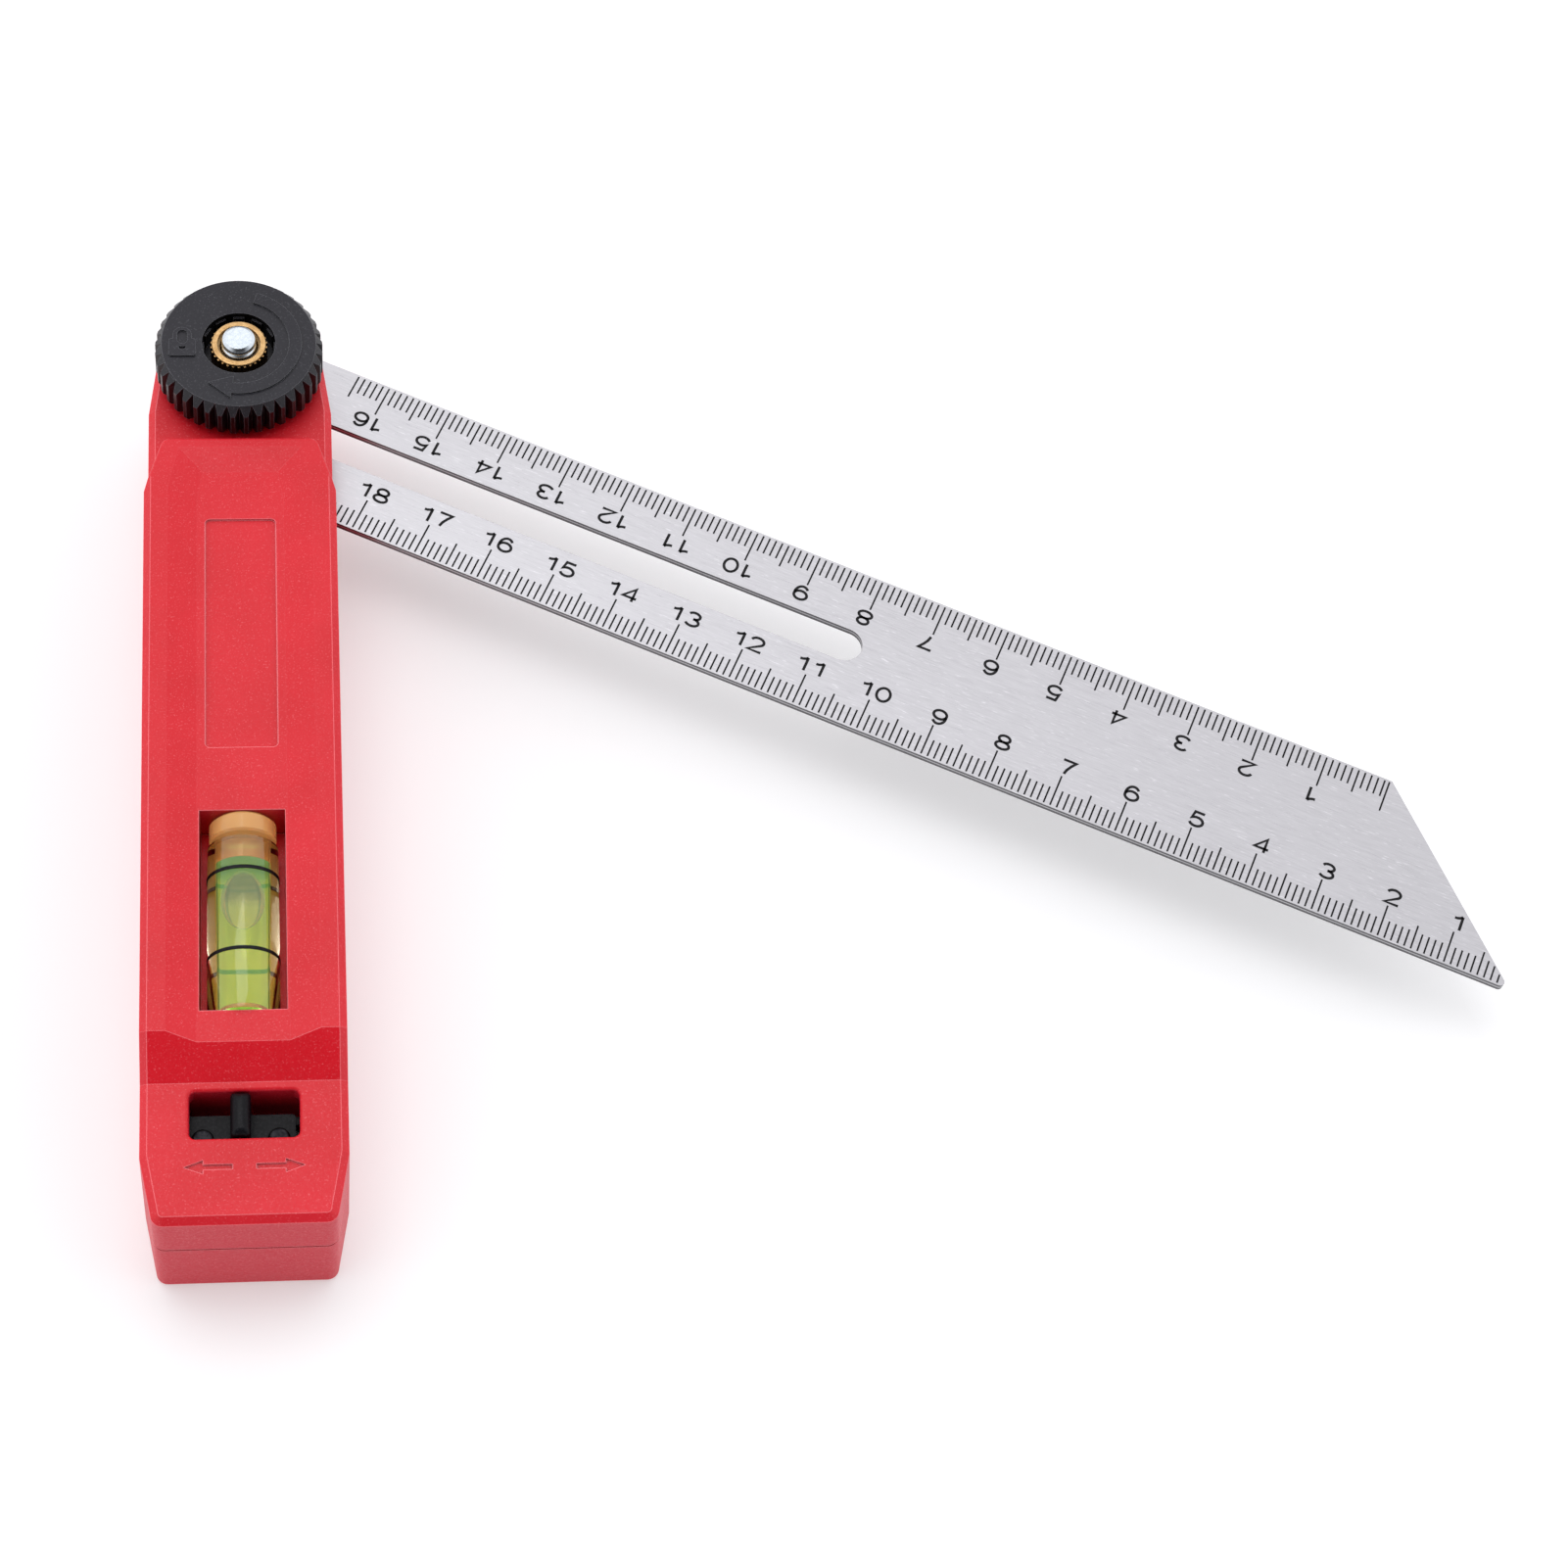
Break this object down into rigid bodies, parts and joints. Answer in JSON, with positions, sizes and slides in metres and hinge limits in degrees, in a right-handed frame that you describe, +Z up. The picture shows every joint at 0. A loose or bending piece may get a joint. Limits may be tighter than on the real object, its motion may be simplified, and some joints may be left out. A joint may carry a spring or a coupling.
{
  "type": "sliding bevel",
  "caption": "Sliding T-bevel: red two-shell handle with spirit level and sliding catch, slotted steel rule blade on a through bolt, black ribbed lock knob.",
  "frame": {"origin": "on the pivot bolt's axis, in the plane of the handle's flat underside", "axes": "+X across the handle towards the blade's side, -Y along the handle to its near end, +Z up the bolt to the knob"},
  "size_m": [0.191, 0.1467, 0.0301],
  "materials": {
    "shell_red": "finely textured, semi-matt red",
    "strip_ochre": "ochre backing strip under the level",
    "black_plastic": "semi-matt black",
    "catch_black": "matt black",
    "blade_steel": "finely brushed along its length",
    "zinc_steel": "bright zinc plating",
    "washer_steel": "plain stamped steel",
    "black_metal": "blackened",
    "brass": "turned and knurled",
    "vial_clear": "clear acrylic",
    "vial_liquid": "yellow-green liquid",
    "vial_air": "air",
    "ring_black": "printed black",
    "plug_amber": "translucent amber"
  },
  "bodies": {
    "handle": {"handle_lower_shell": "shell_red", "handle_upper_shell": "shell_red", "shell_screws": "zinc_steel", "clamp_bolt": "zinc_steel", "friction_washer": "washer_steel", "vial_cradle": "shell_red", "vial_reflector": "strip_ochre", "vial_tube": "vial_clear", "vial_liquid": "vial_liquid", "vial_bubble": "vial_air", "vial_rings": "ring_black", "vial_end_plugs": "plug_amber", "catch_tray": "catch_black", "catch_spring": "washer_steel"},
    "pivot": {"slot_washer": "washer_steel"},
    "blade": {"blade": "blade_steel"},
    "thrust": {"thrust_washer": "washer_steel"},
    "knob": {"lock_knob": "black_plastic", "knob_insert": "brass"},
    "catch": {"catch_slider": "catch_black", "catch_rivets": "black_metal", "catch_plate": "washer_steel"}
  },
  "joints": [
    {"name": "blade_swivel", "type": "hinge", "parent": "handle", "child": "pivot", "pos_m": [0, 0, 0.012], "axis": [0, 0, 1], "range_deg": [-50, 282]},
    {"name": "blade_slide", "type": "slide", "parent": "pivot", "child": "blade", "axis": [-0.8988, 0.4384, 0], "range_m": [0, 0.091]},
    {"name": "knob_lift", "type": "slide", "parent": "handle", "child": "thrust", "axis": [0, 0, 1], "range_m": [0, 0.00085]},
    {"name": "knob_turn", "type": "hinge", "parent": "thrust", "child": "knob", "pos_m": [0, 0, 0.026], "axis": [0, 0, 1], "range_deg": [0, 360]},
    {"name": "catch_travel", "type": "slide", "parent": "handle", "child": "catch", "axis": [1, 0, 0], "range_m": [-0.0043, 0.0053]}
  ],
  "couplings": [
    {"joint": "knob_lift", "follows": "knob_turn", "m_per_rad": 0.00012732}
  ]
}
